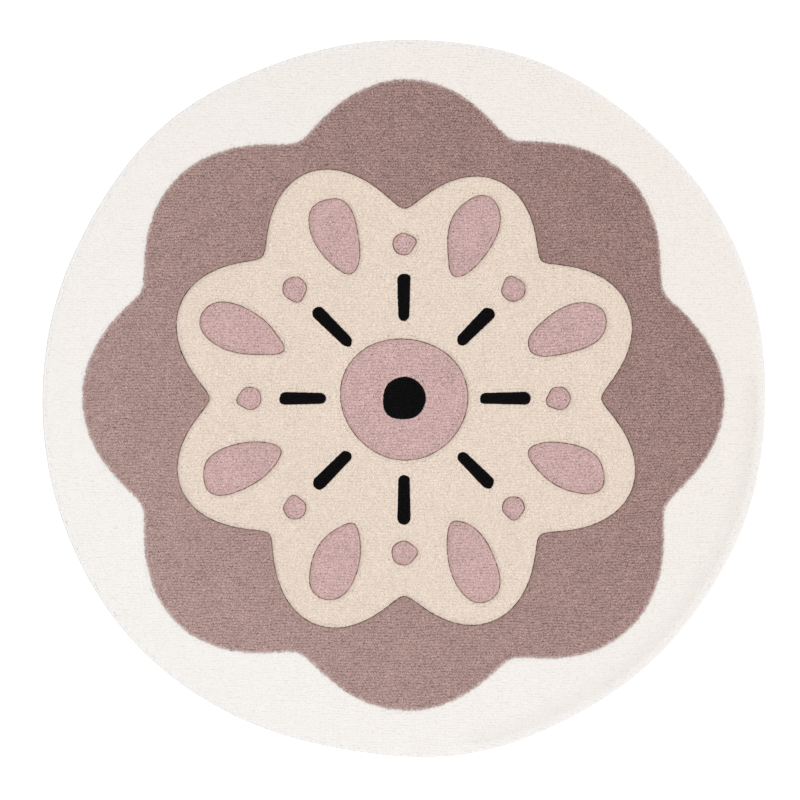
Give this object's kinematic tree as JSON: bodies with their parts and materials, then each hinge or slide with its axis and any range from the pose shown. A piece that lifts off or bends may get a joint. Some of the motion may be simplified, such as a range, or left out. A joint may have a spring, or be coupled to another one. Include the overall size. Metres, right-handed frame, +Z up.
{
  "type": "round kids rug",
  "caption": "Round hand-tufted kids rug with an uneven hand-cut rim, dense cut pile and a petal flower picked out by thin carved lines.",
  "frame": {"origin": "middle of the rug's box, on its underside", "axes": "+Z up out of the pile, +X along the tufting rows, +Y across them towards the top of the picture"},
  "size_m": [1.0006, 0.9928, 0.012],
  "materials": {
    "cream_pile": "cream cut-pile wool, matt, heathered"
  },
  "bodies": {
    "root": {"tufted_rug": "cream_pile"}
  },
  "joints": []
}
